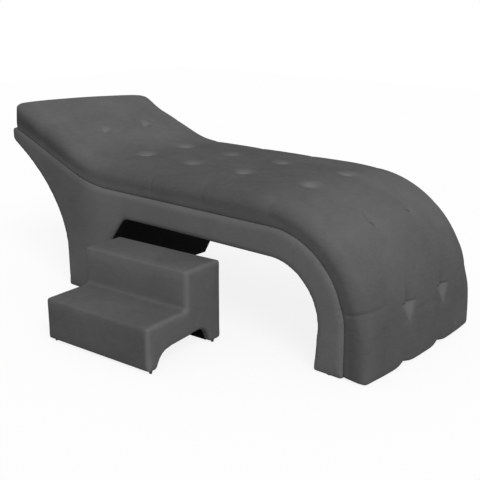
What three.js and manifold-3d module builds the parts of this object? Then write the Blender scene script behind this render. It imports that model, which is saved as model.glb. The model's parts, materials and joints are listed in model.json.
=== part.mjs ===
// Beauty treatment bed with its matching two-step stool, in millimetres, +Z up.
// The bed is a hollow plywood frame between two padded sides, with a tufted cushion on top.
// Every piece is first drawn with x = 0 at the head end of the bed and y = 0 on its centre line.

import * as THREE from 'three';
import { mergeVertices } from 'three/addons/utils/BufferGeometryUtils.js';
import Module from 'manifold-3d';

const wasm = await Module();
wasm.setup();

// Clearances that every piece keeps
const seat_gap = 0.3;
const twine_clearance = 1.5;
const cut_overrun = 12;

// Bed outline, seen from the side: the crease is the line where cushion and side rail meet
const bed_width = 750;
const crease_height = 477;
const head_length = 427;
const head_angle = 20.85;
const head_blend_radius = 625;
const flat_length = 847;
const foot_radius = 320;
const rail_depth = 107;
const head_lip = 7;
const head_face_height = 56;
const head_leg_setback = 340;
const head_leg_straight = 150;
const head_leg_foot = 128;
const knee_setback = 711;
const knee_fillet = 30;
const leg_bow = 20;
const foot_leg_flare = 8;
const head_curve_share = 0.55;

// Layers of the padded sides, from the outside in
const skin_thickness = 5;
const skin_edge_radius = 12;
const side_pad_thickness = 10;
const side_board_thickness = 18;

// Boards, rails and cloth inside the bed
const deck_thickness = 6;
const deck_end_setback = 12;
const head_flap_length = 42;
const back_board_thickness = 6;
const back_board_setback = 15;
const rib_thickness = 15;
const rail_width = 45;
const rail_height = 40;
const leg_rail_width = 78;
const leg_rail_lift = 17;
const lining_thickness = 1.5;
const head_rail_place = 62;
const foot_rail_lift = 45;

// Cushion: foam under a sewn cover, with two columns of tufts
const cushion_thickness = 104;
const cushion_crown = 6;
const cushion_side_radius = 50;
const cushion_head_radius = 22;
const cushion_hem_radius = 24;
const cushion_side_setback = 5;
const cushion_head_setback = 27;
const cushion_draw_in = 6;
const cushion_bulge = 3;
const hem_height = 6;
const cover_thickness = 3;
const tuft_column_offset = 120;
const tuft_depth = 18;
const tuft_radius = 32;
const tuft_row_shares = [0.146, 0.29, 0.42, 0.545, 0.692, 0.795, 0.903];
const edge_line_shares = [0, 0.3, 1];

// Tuft ties: a covered button, its twine and the washer under the deck
const button_radius = 11;
const button_dome = 5;
const twine_radius = 1.5;
const washer_radius = 12;
const washer_thickness = 3;

// Glides under the bed
const bed_glide_height = 3;
const bed_glide_radius = 11;

// Stool outline: width along the bed, depth away from the person stepping up
const stool_width = 500;
const stool_lower_depth = 204;
const stool_upper_depth = 181;
const stool_lower_height = 169;
const stool_upper_height = 312;
const stool_corner_ease = 3;
const stool_front_foot = 40;
const stool_back_foot = 55;
const arch_front_height = 70;
const arch_back_height = 80;
const arch_front_reach = 70;
const arch_back_reach = 65;
const arch_pull_share = 0.25;

// Stool boards, pads and glides
const stool_board_thickness = 15;
const stool_panel_thickness = 12;
const stool_pad_thickness = 15;
const stool_glide_height = 13;
const stool_glide_radius = 7;
const stool_glide_foot_radius = 5;

// Where the stool stands: turned a little, close to the near side of the bed
const stool_turn = 4.12;
const stool_along = 780;
const stool_clearance = 435;

// How finely round shapes are faceted
const largest_turn = THREE.MathUtils.degToRad(15.2);
const least_step = 8;
const curve_steps = 6;
const corner_steps = 3;
const button_sides = 10;
const glide_sides = 16;
const twine_hole_sides = 4;
const parallel_limit = 1e-9;

// Sizes that follow from the ones above
const quarter_turn = Math.PI / 2;
const head_slope = THREE.MathUtils.degToRad(head_angle);
const head_rise = head_length * Math.sin(head_slope) + head_blend_radius * (1 - Math.cos(head_slope));
const near_face = -bed_width / 2;
const side_depth = skin_thickness + side_pad_thickness + side_board_thickness + 2 * seat_gap;
const inner_half = bed_width / 2 - side_depth - seat_gap;
const underside = crease_height - rail_depth;
const cushion_half = bed_width / 2 - cushion_side_setback;
const stool_depth = stool_lower_depth + stool_upper_depth;
const stool_corner_radius = skin_edge_radius + stool_corner_ease;

// Finishes
function finish(colour, roughness) {
  return () => new THREE.MeshStandardMaterial({ color: colour, roughness, metalness: 0 });
}
const velvet = finish(0x565656, 0.9);
const foam = finish(0xd9cf9e, 0.95);
const plywood = finish(0xc49a63, 0.75);
const pine = finish(0xd8b27a, 0.7);
const black_cloth = finish(0x0b0b0b, 0.95);
const black_plastic = finish(0x141414, 0.5);
const twine = finish(0x3a3a3a, 0.8);

// Solids: closed meshes go to the boolean library and come back as geometry
function toSolid(geometry) {
  const bare = geometry.clone();
  bare.deleteAttribute('normal');
  bare.deleteAttribute('uv');
  const merged = mergeVertices(bare);
  const vertProperties = new Float32Array(merged.attributes.position.array);
  const triVerts = new Uint32Array(merged.index.array);
  return new wasm.Manifold(new wasm.Mesh({ numProp: 3, vertProperties, triVerts }));
}

function toGeometry(solid) {
  const { vertProperties, triVerts } = solid.getMesh();
  const geometry = new THREE.BufferGeometry();
  geometry.setAttribute('position', new THREE.BufferAttribute(vertProperties, 3));
  geometry.setIndex(new THREE.BufferAttribute(triVerts, 1));
  geometry.computeVertexNormals();
  return geometry;
}

function cut(geometry, ...tools) {
  const solid = tools.reduce((rest, tool) => rest.subtract(toSolid(tool)), toSolid(geometry));
  return toGeometry(solid);
}

function common(geometry, other) {
  return toGeometry(toSolid(geometry).intersect(toSolid(other)));
}

function mirrored(geometry) {
  const copy = mergeVertices(geometry.clone().scale(1, -1, 1));
  const index = copy.index.array;
  for (let corner = 0; corner < index.length; corner += 3) {
    [index[corner], index[corner + 1]] = [index[corner + 1], index[corner]];
  }
  copy.computeVertexNormals();
  return copy;
}

function addPiece(group, name, geometry, material) {
  const piece = new THREE.Mesh(geometry, material());
  piece.name = name;
  group.add(piece);
  return piece;
}

function placed(piece) {
  piece.updateMatrix();
  return piece.geometry.clone().applyMatrix4(piece.matrix);
}

// Boxes and slabs: a slab is an outline in the x, z plane given a width in y
function box(x, y, z) {
  const geometry = new THREE.BoxGeometry(x[1] - x[0], y[1] - y[0], z[1] - z[0]);
  return geometry.translate((x[0] + x[1]) / 2, (y[0] + y[1]) / 2, (z[0] + z[1]) / 2);
}

function slab(outline, y) {
  const shape = new THREE.Shape(outline.map(({ x, z }) => new THREE.Vector2(x, z)));
  const geometry = new THREE.ExtrudeGeometry(shape, { depth: y[1] - y[0], bevelEnabled: false });
  return geometry.rotateX(quarter_turn).translate(0, y[1], 0);
}

// A solid through outlines of equal length, stacked in y
function stacked(layers) {
  const count = layers[0].outline.length;
  const points = layers.flatMap(({ outline, y }) => outline.flatMap(({ x, z }) => [x, y, z]));
  const contour = layers[0].outline.map(({ x, z }) => new THREE.Vector2(x, z));
  const last_contour = layers.at(-1).outline.map(({ x, z }) => new THREE.Vector2(x, z));
  const top = (layers.length - 1) * count;
  const faces = THREE.ShapeUtils.triangulateShape(contour, []).flat();
  for (const [a, b, c] of THREE.ShapeUtils.triangulateShape(last_contour, [])) {
    faces.push(top + a, top + c, top + b);
  }
  for (let layer = 0; layer < layers.length - 1; layer += 1) {
    for (let corner = 0; corner < count; corner += 1) {
      const next = (corner + 1) % count;
      const [a, b] = [layer * count + corner, layer * count + next];
      faces.push(a, a + count, b + count, a, b + count, b);
    }
  }
  const geometry = new THREE.BufferGeometry();
  geometry.setAttribute('position', new THREE.Float32BufferAttribute(points, 3));
  return geometry.setIndex(faces);
}

// Layers that round the edge of a face, from the face at y inward along the way given
function roundedLayers(outline, depths, y, way) {
  return Array.from({ length: corner_steps + 1 }, (_, step) => {
    const swing = (quarter_turn * step) / corner_steps;
    const setback = skin_edge_radius * (1 - Math.sin(swing));
    const rise = skin_edge_radius * (1 - Math.cos(swing));
    return { outline: inset(outline, depths(setback)), y: y + way * rise };
  });
}

function bend(from, via, to, steps) {
  const points = [from, via, to].map(([x, z]) => new THREE.Vector2(x, z));
  return new THREE.QuadraticBezierCurve(...points).getPoints(steps).map(({ x, y }) => [x, y]);
}

function edges(label, points) {
  return points.map(([x, z]) => ({ x, z, label }));
}

// Moves each edge of an outline inward by the depth that its label asks for
function inset(outline, depths) {
  const inward = outline.map((start, index) => {
    const end = outline[(index + 1) % outline.length];
    const length = Math.hypot(end.x - start.x, end.z - start.z);
    return { x: (start.z - end.z) / length, z: (end.x - start.x) / length, depth: depths[start.label] };
  });
  return outline.map((corner, index) => {
    const before = inward[(index + outline.length - 1) % outline.length];
    const after = inward[index];
    return { ...corner, ...shifted(corner, before, after) };
  });
}

function shifted(corner, before, after) {
  const cross = before.x * after.z - before.z * after.x;
  if (Math.abs(cross) < parallel_limit) {
    return { x: corner.x + after.x * after.depth, z: corner.z + after.z * after.depth };
  }
  const x = (before.depth * after.z - after.depth * before.z) / cross;
  const z = (after.depth * before.x - before.depth * after.x) / cross;
  return { x: corner.x + x, z: corner.z + z };
}

// A strip of even thickness along a chain of points, starting some way inside it
function strip(chain, depth, thickness) {
  const near = offsetChain(chain, depth);
  const far = offsetChain(chain, depth + thickness).reverse();
  return [...near, ...far];
}

function offsetChain(chain, depth) {
  const inward = chain.slice(1).map((end, index) => {
    const start = chain[index];
    const length = Math.hypot(end.x - start.x, end.z - start.z);
    return { x: (start.z - end.z) / length, z: (end.x - start.x) / length, depth };
  });
  return chain.map((corner, index) => {
    const before = inward[Math.max(index - 1, 0)];
    const after = inward[Math.min(index, inward.length - 1)];
    return { ...corner, ...shifted(corner, before, after) };
  });
}

// The crease line: raised head, blend, flat top, round over the foot end, drop to the floor
const stretches = [
  { length: head_length, turn: 0 },
  { length: head_blend_radius * head_slope, turn: head_slope },
  { length: flat_length, turn: 0 },
  { length: foot_radius * quarter_turn, turn: -quarter_turn },
  { length: crease_height - foot_radius - bed_glide_height, turn: 0 },
];
const crease_length = stretches.reduce((sum, stretch) => sum + stretch.length, 0);
const round_start = stretches.slice(0, 3).reduce((sum, stretch) => sum + stretch.length, 0);

function creaseAt(place) {
  let x = 0;
  let z = crease_height + head_rise;
  let heading = -head_slope;
  let left = place;
  for (const { length, turn } of stretches) {
    const part = Math.min(left / length, 1);
    const swing = turn * part;
    if (turn === 0) {
      x += Math.cos(heading) * length * part;
      z += Math.sin(heading) * length * part;
    } else {
      const radius = length / turn;
      x += radius * (Math.sin(heading + swing) - Math.sin(heading));
      z -= radius * (Math.cos(heading + swing) - Math.cos(heading));
    }
    heading += swing;
    left = Math.max(left - length, 0);
  }
  return { x, z, heading };
}

function offCrease(place, height) {
  const { x, z, heading } = creaseAt(place);
  return [x - height * Math.sin(heading), z + height * Math.cos(heading)];
}

// Places along the crease where all curved pieces have a line of corners, so that they nest
const tuft_rows = tuft_row_shares.map((share) => share * crease_length);
const tuft_marks = tuft_rows.flatMap((row) => [row - tuft_radius, row, row + tuft_radius]);

function fillBends(marks) {
  return marks.flatMap((mark, index) => {
    const next = marks[index + 1] ?? mark;
    const turn = Math.abs(creaseAt(next).heading - creaseAt(mark).heading);
    const parts = Math.max(1, Math.ceil(turn / largest_turn));
    return Array.from({ length: parts }, (_, part) => mark + ((next - mark) * part) / parts);
  });
}

const cushion_end = crease_length + bed_glide_height - hem_height;
const lean_start = tuft_rows[0] - tuft_radius;
const stations = fillBends([...tuft_marks, cushion_end]).slice(0, -1);

// Side outline of the bed, counter-clockwise from the floor at the head leg
const head_top = crease_height + head_rise;
const toe = [head_leg_setback + head_leg_foot, bed_glide_height];
const knee = [knee_setback, underside];
const leg_run = Math.hypot(knee[0] - toe[0], knee[1] - toe[1]);
const leg_slant = [(knee[0] - toe[0]) / leg_run, (knee[1] - toe[1]) / leg_run];
const knee_low = [knee[0] - leg_slant[0] * knee_fillet, knee[1] - leg_slant[1] * knee_fillet];
const leg_middle = [
  (toe[0] + knee[0]) / 2 - leg_slant[1] * leg_bow,
  (toe[1] + knee[1]) / 2 + leg_slant[0] * leg_bow,
];
const round_stations = stations.filter((station) => station > round_start + least_step);
const [foot_inner_x] = offCrease(crease_length, -rail_depth);

const under_chain = edges('under', [
  ...bend(toe, leg_middle, knee_low, curve_steps),
  ...bend(knee_low, knee, [knee[0] + knee_fillet, knee[1]], corner_steps).slice(1),
  ...[round_start, ...round_stations].map((station) => offCrease(station, -rail_depth)),
]);
const head_tip = [-head_lip, head_top + head_lip * Math.tan(head_slope)];
const head_under = head_top - head_face_height;
const head_curve_height = head_leg_straight + (head_under - head_leg_straight) * head_curve_share;
const head_chain = edges('head', [
  head_tip,
  ...bend(
    [-head_lip, head_under],
    [head_leg_setback, head_curve_height],
    [head_leg_setback, head_leg_straight],
    curve_steps,
  ),
]);
const foot_toe = edges('floor', [[foot_inner_x - foot_leg_flare, bed_glide_height]]);
const top_places = [...stations, crease_length].reverse();
const top_chain = edges('top', top_places.map((station) => offCrease(station, 0)));
const head_toe = edges('floor', [[head_leg_setback, bed_glide_height]]);
const side_outline = [...head_toe, ...under_chain, ...foot_toe, ...top_chain, ...head_chain];

const evenly = (depth) => ({ under: depth, floor: depth, top: depth, head: depth });
const board_outline = inset(side_outline, evenly(skin_thickness + seat_gap));

const set = new THREE.Group();
const bed = new THREE.Group();
const stool_place = new THREE.Group();
const stool = new THREE.Group();
set.add(bed, stool_place);
stool_place.add(stool);

// Padded sides: a skin like a tray, a thin pad and the board that carries the bed
function sideSkin() {
  const inner_face = near_face + side_depth;
  const standing = (depth) => ({ ...evenly(depth), floor: 0 });
  const rounded = roundedLayers(side_outline, standing, near_face, 1);
  const blank = stacked([...rounded, { outline: side_outline, y: inner_face }]);
  const hollow_outline = inset(side_outline, evenly(skin_thickness));
  const hollow = slab(hollow_outline, [near_face + skin_thickness, inner_face + cut_overrun]);
  return cut(blank, hollow);
}

const pad_outer = near_face + skin_thickness + seat_gap;
const board_outer = pad_outer + side_pad_thickness + seat_gap;
const side_pieces = [
  ['side_cover', sideSkin(), velvet],
  ['side_pad', slab(board_outline, [pad_outer, pad_outer + side_pad_thickness]), foam],
  ['side_panel', slab(board_outline, [board_outer, board_outer + side_board_thickness]), plywood],
];
for (const [name, geometry, material] of side_pieces) {
  addPiece(bed, `${name}_near`, geometry, material);
  addPiece(bed, `${name}_far`, mirrored(geometry), material);
}

// Cross rails under the deck, one between each two rows of tufts and one at each end
function deckSag(place) {
  const { x, z, heading } = creaseAt(place);
  const ends = [place - rail_width / 2, place + rail_width / 2];
  const spanned = stations.filter((station) => station > ends[0] && station < ends[1]);
  const before = Math.max(...stations.filter((station) => station <= ends[0]), 0);
  const after = Math.min(...stations.filter((station) => station >= ends[1]), crease_length);
  const heights = [before, ...spanned, after].map((station) => {
    const [corner_x, corner_z] = offCrease(station, 0);
    const along = (corner_x - x) * Math.cos(heading) + (corner_z - z) * Math.sin(heading);
    const up = (corner_z - z) * Math.cos(heading) - (corner_x - x) * Math.sin(heading);
    return { along, up };
  });
  const sags = heights.slice(1).flatMap((end, index) => {
    const start = heights[index];
    return [-rail_width / 2, rail_width / 2].map((edge) => {
      const at = Math.min(Math.max(edge, start.along), end.along);
      return start.up + ((end.up - start.up) * (at - start.along)) / (end.along - start.along);
    });
  });
  return Math.min(...sags);
}

function crossRail(name, place) {
  const depth = deck_thickness + seat_gap - deckSag(place) + rail_height / 2;
  const [x, z] = offCrease(place, -depth);
  const rail = addPiece(bed, name, new THREE.BoxGeometry(rail_width, 2 * inner_half, rail_height), pine);
  rail.position.set(x, 0, z);
  rail.rotation.y = -creaseAt(place).heading;
  return rail;
}

const rail_places = [
  head_rail_place,
  ...tuft_rows.slice(1).map((row, index) => (row + tuft_rows[index]) / 2),
  crease_length - foot_rail_lift,
];
const rails = rail_places.map((place, index) => crossRail(`cross_rail_${index + 1}`, place));

const knee_rail_size = [rail_width, 2 * inner_half, rail_height];
const knee_rail = addPiece(bed, 'knee_rail', new THREE.BoxGeometry(...knee_rail_size), pine);
knee_rail.position.set(
  knee[0] + knee_fillet + rail_width / 2,
  0,
  underside + lining_thickness + seat_gap + rail_height / 2,
);
const leg_rail_size = [leg_rail_width, 2 * inner_half, rail_height];
const leg_rail = addPiece(bed, 'head_leg_rail', new THREE.BoxGeometry(...leg_rail_size), pine);
leg_rail.position.set(
  head_leg_setback + head_leg_foot / 2,
  0,
  bed_glide_height + leg_rail_lift + rail_height / 2,
);

// Centre rib, with slots for the rails that are open towards the deck
const inner_skin = skin_thickness + seat_gap;
const rib_outline = inset(side_outline, {
  under: lining_thickness + seat_gap,
  floor: leg_rail_lift,
  top: deck_thickness + seat_gap,
  head: inner_skin + back_board_thickness + seat_gap,
});
function railSlot(rail, opening) {
  const { width, height, depth } = rail.geometry.parameters;
  const shape = new THREE.BoxGeometry(width + 2 * seat_gap, height, depth + 2 * seat_gap + opening);
  const slot = new THREE.Mesh(shape.translate(0, 0, opening / 2));
  slot.position.copy(rail.position);
  slot.rotation.copy(rail.rotation);
  return placed(slot);
}
const slots = [
  ...rails.map((rail) => railSlot(rail, cut_overrun)),
  railSlot(knee_rail, 0),
  railSlot(leg_rail, 0),
];
const rib = cut(slab(rib_outline, [-rib_thickness / 2, rib_thickness / 2]), ...slots);
addPiece(bed, 'centre_rib', rib, plywood);

// Tufts: where each one sits, and the hole that its twine runs through
const tufts = tuft_rows.flatMap((row) => [
  { place: row, y: -tuft_column_offset },
  { place: row, y: tuft_column_offset },
]);

function twineHole({ place, y }) {
  const radius = (twine_radius + twine_clearance) / Math.cos(Math.PI / twine_hole_sides);
  const length = 2 * (cushion_thickness + deck_thickness);
  const hole = new THREE.Mesh(new THREE.CylinderGeometry(radius, radius, length, twine_hole_sides));
  const { x, z, heading } = creaseAt(place);
  hole.position.set(x, y, z);
  hole.rotation.set(quarter_turn, -heading, 0, 'YXZ');
  return placed(hole);
}
const twine_holes = tufts.map(twineHole);

// Deck: one thin board bent over the rails
const inner_width = [-inner_half, inner_half];
const deck_places = [head_flap_length + seat_gap, ...stations, crease_length - deck_end_setback];
const deck_chain = edges('top', deck_places.map((station) => offCrease(station, 0)).reverse());
const deck = cut(slab(strip(deck_chain, 0, deck_thickness), inner_width), ...twine_holes);
addPiece(bed, 'deck_board', deck, plywood);

// Back of the head leg: a bent board under its own cover
const head_full_chain = [...head_chain, ...head_toe];
const [, board_tip, ...board_rest] = head_full_chain;
const tip_length = Math.hypot(board_rest[0].x - board_tip.x, board_rest[0].z - board_tip.z);
const tip_part = back_board_setback / tip_length;
const board_start = {
  ...board_tip,
  x: board_tip.x + (board_rest[0].x - board_tip.x) * tip_part,
  z: board_tip.z + (board_rest[0].z - board_tip.z) * tip_part,
};
const back_chain = [board_start, ...board_rest];
const back_board = slab(strip(back_chain, inner_skin, back_board_thickness), inner_width);
addPiece(bed, 'head_back_board', back_board, plywood);
const flap_chain = [...edges('head', [offCrease(head_flap_length, 0)]), ...head_full_chain];
addPiece(bed, 'head_end_cover', slab(strip(flap_chain, 0, skin_thickness), inner_width), velvet);

// Black cloth that closes the underside, from the toe of one leg to the toe of the other
const lining_chain = [...under_chain, ...foot_toe];
addPiece(bed, 'underside_lining', slab(strip(lining_chain, 0, lining_thickness), inner_width), black_cloth);

// Cushion: a grid of crown and edges over a flat base, the same for cover and foam
function sideRadius(place) {
  const below = Math.max(place - tuft_rows.at(-1), 0) / (cushion_end - tuft_rows.at(-1));
  return cushion_side_radius + (cushion_hem_radius - cushion_side_radius) * Math.min(below, 1);
}

function cushionBody(depth, base, bulge) {
  const half = cushion_half - depth;
  const head_round = cushion_head_radius - depth;
  const start = cushion_head_setback + depth;
  const along = [
    ...edge_line_shares.map((share) => start + share * head_round),
    ...stations,
    cushion_end - depth,
  ];
  const across = along.map((place) => {
    const edge_lines = edge_line_shares.map((share) => half - share * (sideRadius(place) - depth));
    const tuft_lines = [tuft_radius, 0, -tuft_radius].map((step) => tuft_column_offset + step);
    const right = [...edge_lines, ...tuft_lines];
    return [...right.map((y) => -y), ...[...right].reverse()];
  });
  const last = { along: along.length - 1, across: across[0].length - 1 };
  const isTuft = (i, j) => tuft_rows.includes(along[i]) && Math.abs(across[i][j]) === tuft_column_offset;

  // The head end stands upright: before the first tufts, the cushion leans more and more that way
  const points = [];
  const put = (place, y, height) => {
    const lean = Math.max(lean_start - place, 0) / (lean_start - cushion_head_setback);
    const [x, z] = offCrease(place - height * Math.tan(head_slope) * lean, height);
    points.push(x, y, z);
  };

  // Distances from the edges, as shares of the rounding, and how far round the corner they lie
  const edgeOf = (i, j) => {
    const side_round = sideRadius(along[i]) - depth;
    const head = Math.min((along[i] - start) / head_round, 1);
    const side = Math.min((half - Math.abs(across[i][j])) / side_round, 1);
    const least = Math.min(head, side);
    const ring = 1 - least;
    const swing = ring > 0 ? (quarter_turn / 2) * ((1 - Math.max(head, side)) / ring) : 0;
    const by_side = head >= side;
    const sideways = by_side ? quarter_turn - swing : swing;
    return { side_round, head, side, ring, sideways };
  };

  // Plan of the corners at the head end: squares of lines bent into quarter circles
  const planned = (i, j) => {
    const { side_round, head, side, ring, sideways } = edgeOf(i, j);
    if (Math.max(head, side) >= 1) {
      return [along[i], across[i][j]];
    }
    const back = head_round * (1 - ring * Math.cos(sideways));
    const out = half - side_round * (1 - ring * Math.sin(sideways));
    return [start + back, Math.sign(across[i][j]) * out];
  };

  const gridHeight = (i, j) => {
    const { side_round, ring, sideways } = edgeOf(i, j);
    const turn_share = sideways / quarter_turn;
    const drop = (head_round + (side_round - head_round) * turn_share) * (1 - Math.sqrt(1 - ring ** 2));
    const crown = cushion_crown * (1 - (across[i][j] / half) ** 2);
    return cushion_thickness - depth + crown - drop - (isTuft(i, j) ? tuft_depth : 0);
  };

  const loop = [];
  along.forEach((_, i) => loop.push([i, 0]));
  across[0].slice(1).forEach((_, j) => loop.push([last.along, j + 1]));
  along.slice(1).forEach((_, i) => loop.push([last.along - 1 - i, last.across]));
  across[0].slice(2).forEach((_, j) => loop.push([0, last.across - 1 - j]));

  along.forEach((_, i) => across[i].forEach((__, j) => put(...planned(i, j), gridHeight(i, j))));
  const ring_levels = [
    { height: (cushion_thickness - cushion_side_radius) / 2, out: bulge },
    { height: base, out: -cushion_draw_in },
  ];
  const side_rings = bulge > 0 ? ring_levels : ring_levels.slice(1);
  for (const { height, out } of side_rings) {
    for (const [i, j] of loop) {
      const [place, y] = planned(i, j);
      const core_half = half - sideRadius(along[i]) + depth;
      const core_place = Math.max(place, start + head_round);
      const core_y = Math.min(Math.max(y, -core_half), core_half);
      const reach = Math.hypot(place - core_place, y - core_y) || 1;
      const pleat = out > 0 && tuft_rows.includes(along[i]) ? 0 : out;
      put(place + ((place - core_place) / reach) * pleat, y + ((y - core_y) / reach) * pleat, height);
    }
  }

  const columns = across[0].length;
  const grid = (i, j) => i * columns + j;
  const ringAt = (level, k) => {
    const step = (k + loop.length) % loop.length;
    return level === 0 ? grid(...loop[step]) : along.length * columns + (level - 1) * loop.length + step;
  };
  const faces = [];
  for (let i = 0; i < last.along; i += 1) {
    for (let j = 0; j < last.across; j += 1) {
      const [a, b, c, d] = [grid(i, j), grid(i + 1, j), grid(i + 1, j + 1), grid(i, j + 1)];
      const diagonal = isTuft(i, j) || isTuft(i + 1, j + 1);
      faces.push(...(diagonal ? [a, b, c, a, c, d] : [a, b, d, b, c, d]));
    }
  }
  for (let level = 1; level <= side_rings.length; level += 1) {
    for (let k = 0; k < loop.length; k += 1) {
      const [a, b] = [ringAt(level - 1, k), ringAt(level - 1, k + 1)];
      const [low_a, low_b] = [ringAt(level, k), ringAt(level, k + 1)];
      faces.push(low_a, low_b, b, low_a, b, a);
    }
  }

  // Flat base: strips across the bed, with a fan at each end
  const bottom = (k) => ringAt(side_rings.length, k);
  const near = (i) => bottom(i);
  const far = (i) => bottom(2 * last.along + last.across - i);
  const foot = (j) => bottom(last.along + j);
  const head = (j) => bottom(-j);
  for (let i = 1; i < last.along - 1; i += 1) {
    faces.push(near(i), far(i), far(i + 1), near(i), far(i + 1), near(i + 1));
  }
  for (let j = 0; j < last.across; j += 1) {
    faces.push(near(1), head(j), head(j + 1));
    faces.push(near(last.along - 1), foot(j + 1), foot(j));
  }
  faces.push(near(1), head(last.across), far(1));
  faces.push(near(last.along - 1), far(last.along - 1), foot(last.across));

  const geometry = new THREE.BufferGeometry();
  geometry.setAttribute('position', new THREE.Float32BufferAttribute(points, 3));
  geometry.setIndex(faces);
  return geometry;
}

const cover_body = cushionBody(0, seat_gap, cushion_bulge);
const cover_hollow = cushionBody(cover_thickness, -cut_overrun, 0);
addPiece(bed, 'cushion_cover', cut(cover_body, cover_hollow, ...twine_holes), velvet);
const foam_body = cushionBody(cover_thickness + seat_gap, seat_gap, 0);
addPiece(bed, 'cushion_foam', cut(foam_body, ...twine_holes), foam);

// Tuft ties, each one solid from the washer under the deck to the button in its dimple
function tuftTie(name, { place, y }) {
  const crown = cushion_crown * (1 - (y / cushion_half) ** 2);
  const dimple = cushion_thickness + crown - tuft_depth;
  const turn = creaseAt(place + tuft_radius).heading - creaseAt(place - tuft_radius).heading;
  const tilt = Math.tan(Math.abs(turn) / 4);
  const washer_top = -deck_thickness - seat_gap - washer_radius * tilt;
  const squeeze = Math.max(turn, 0) * (dimple + tuft_depth);
  const slope = (2 * tuft_depth) / (2 * tuft_radius - squeeze) + tilt;
  const rim = dimple + slope * button_radius + 2 * seat_gap;
  const neck = dimple + slope * twine_radius + 2 * seat_gap;
  const profile = [
    [0, washer_top - washer_thickness],
    [washer_radius, washer_top - washer_thickness],
    [washer_radius, washer_top],
    [twine_radius, washer_top],
    [twine_radius, neck],
    [button_radius, rim],
    [button_radius * Math.cos(quarter_turn / 2), rim + button_dome * Math.sin(quarter_turn / 2)],
    [0, rim + button_dome],
  ].map(([radius, height]) => new THREE.Vector2(radius, height));
  const tie = addPiece(bed, name, new THREE.LatheGeometry(profile, button_sides), twine);
  const { x, z, heading } = creaseAt(place);
  tie.position.set(x, y, z);
  tie.rotation.set(quarter_turn, -heading, 0, 'YXZ');
}
tufts.forEach((tuft, index) => {
  const side = tuft.y < 0 ? 'near' : 'far';
  tuftTie(`tuft_tie_${side}_${Math.floor(index / 2) + 1}`, tuft);
});

// Glides under the two legs of each side
function glide(group, name, [x, y], height, radii) {
  const shape = new THREE.CylinderGeometry(...radii, height, glide_sides);
  const piece = addPiece(group, name, shape, black_plastic);
  piece.position.set(x, y, height / 2);
  piece.rotation.x = quarter_turn;
}
const glide_height = bed_glide_height - seat_gap;
const bed_legs = [
  ['head', head_leg_setback + head_leg_foot / 2],
  ['foot', foot_inner_x - foot_leg_flare + (rail_depth + foot_leg_flare) / 2],
];
for (const [leg, x] of bed_legs) {
  for (const [side, way] of [['near', -1], ['far', 1]]) {
    const y = way * (bed_width / 2 - side_depth / 2);
    glide(bed, `bed_glide_${leg}_${side}`, [x, y], glide_height, [bed_glide_radius, bed_glide_radius]);
  }
}

// Stool outline in its own frame: x is depth away from the front, counter-clockwise from the front toe
function roundCorner(radius, [x, z], [from_x, from_z], [to_x, to_z]) {
  const steps = radius > 0 ? corner_steps : 0;
  return Array.from({ length: steps + 1 }, (_, step) => {
    const swing = (quarter_turn * step) / corner_steps;
    const from = radius * (1 - Math.sin(swing));
    const to = radius * (1 - Math.cos(swing));
    return [x + from_x * from + to_x * to, z + from_z * from + to_z * to];
  });
}
const arch_end = stool_depth - stool_back_foot;
const arch_points = [
  ...bend(
    [stool_front_foot, stool_glide_height],
    [stool_front_foot + arch_front_reach * arch_pull_share, arch_front_height],
    [stool_front_foot + arch_front_reach, arch_front_height],
    curve_steps,
  ),
  ...bend(
    [arch_end - arch_back_reach, arch_back_height],
    [arch_end - arch_back_reach * arch_pull_share, arch_back_height],
    [arch_end, stool_glide_height],
    curve_steps,
  ).slice(0, -1),
];
function stoolOutline(radius) {
  return [
    ...edges('foot', [[0, stool_glide_height]]),
    ...edges('arch', arch_points),
    ...edges('foot', [[arch_end, stool_glide_height]]),
    ...edges('back', [[stool_depth, stool_glide_height]]),
    ...edges('tread', roundCorner(radius, [stool_depth, stool_upper_height], [0, -1], [-1, 0])),
    ...edges('riser', roundCorner(radius, [stool_lower_depth, stool_upper_height], [1, 0], [0, -1])),
    ...edges('tread', [[stool_lower_depth, stool_lower_height]]),
    ...edges('front', roundCorner(radius, [0, stool_lower_height], [1, 0], [0, -1])),
  ];
}
const stool_outline = stoolOutline(stool_corner_radius);

// Skin of the stool: a soft-edged shell, open below
const stool_skin = skin_thickness + seat_gap;
const stool_layers = (depth) => ({
  foot: 0,
  arch: depth,
  back: depth,
  tread: depth,
  riser: depth,
  front: depth,
});
const stool_block_outline = stool_outline.filter(({ label }) => label !== 'arch');

function stoolBlock(depth) {
  return slab(inset(stool_block_outline, stool_layers(depth)), [depth, stool_width - depth]);
}

function lowered(outline) {
  return outline.map((corner) => (corner.z > stool_glide_height ? corner : { ...corner, z: -cut_overrun }));
}
const stool_hollow_outline = lowered(inset(stool_block_outline, stool_layers(skin_thickness)));
const stool_hollow = slab(stool_hollow_outline, [skin_thickness, stool_width - skin_thickness]);
const stool_blank = stacked([
  ...roundedLayers(stool_outline, stool_layers, 0, 1),
  ...roundedLayers(stool_outline, stool_layers, stool_width, -1).reverse(),
]);
addPiece(stool, 'stool_cover', cut(stool_blank, stool_hollow), velvet);

// Stool sides with their arch, and the pads on the treads
const pad_layer = stool_skin + stool_pad_thickness + seat_gap;
const panel_outline = inset(stoolOutline(0), { ...stool_layers(stool_skin), tread: pad_layer });
const board_inner = stool_skin + stool_board_thickness;
addPiece(stool, 'stool_side_right', slab(panel_outline, [stool_skin, board_inner]), plywood);
const left_side = [stool_width - board_inner, stool_width - stool_skin];
addPiece(stool, 'stool_side_left', slab(panel_outline, left_side), plywood);

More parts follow.
